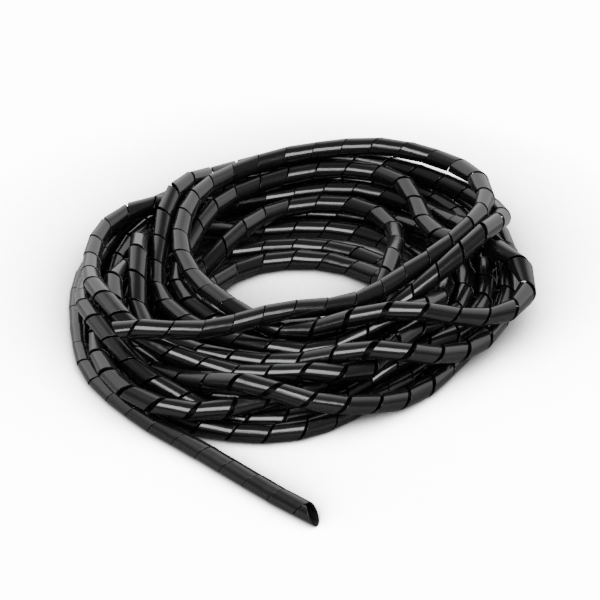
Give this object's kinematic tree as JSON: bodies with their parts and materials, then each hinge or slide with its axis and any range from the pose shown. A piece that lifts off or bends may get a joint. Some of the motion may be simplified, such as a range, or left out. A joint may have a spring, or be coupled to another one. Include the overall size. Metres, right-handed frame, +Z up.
{
  "type": "spiral cable wrap",
  "caption": "Flexible black plastic tube with a helical slit along its whole length, for bundling cables, lying in a loose coil with one free tail at the front.",
  "frame": {"origin": "on the surface the coil lies on, under the middle of the bounding box of coil and tail", "axes": "+Z up from the surface, -Y towards the tail's free end at the front, +X to the right seen from the front"},
  "size_m": [0.2968, 0.3818, 0.0533],
  "materials": {
    "black_polyethylene": "gloss black polyethylene, faintly uneven from extrusion"
  },
  "bodies": {
    "root": {"spiral_wrap": "black_polyethylene"}
  },
  "joints": []
}
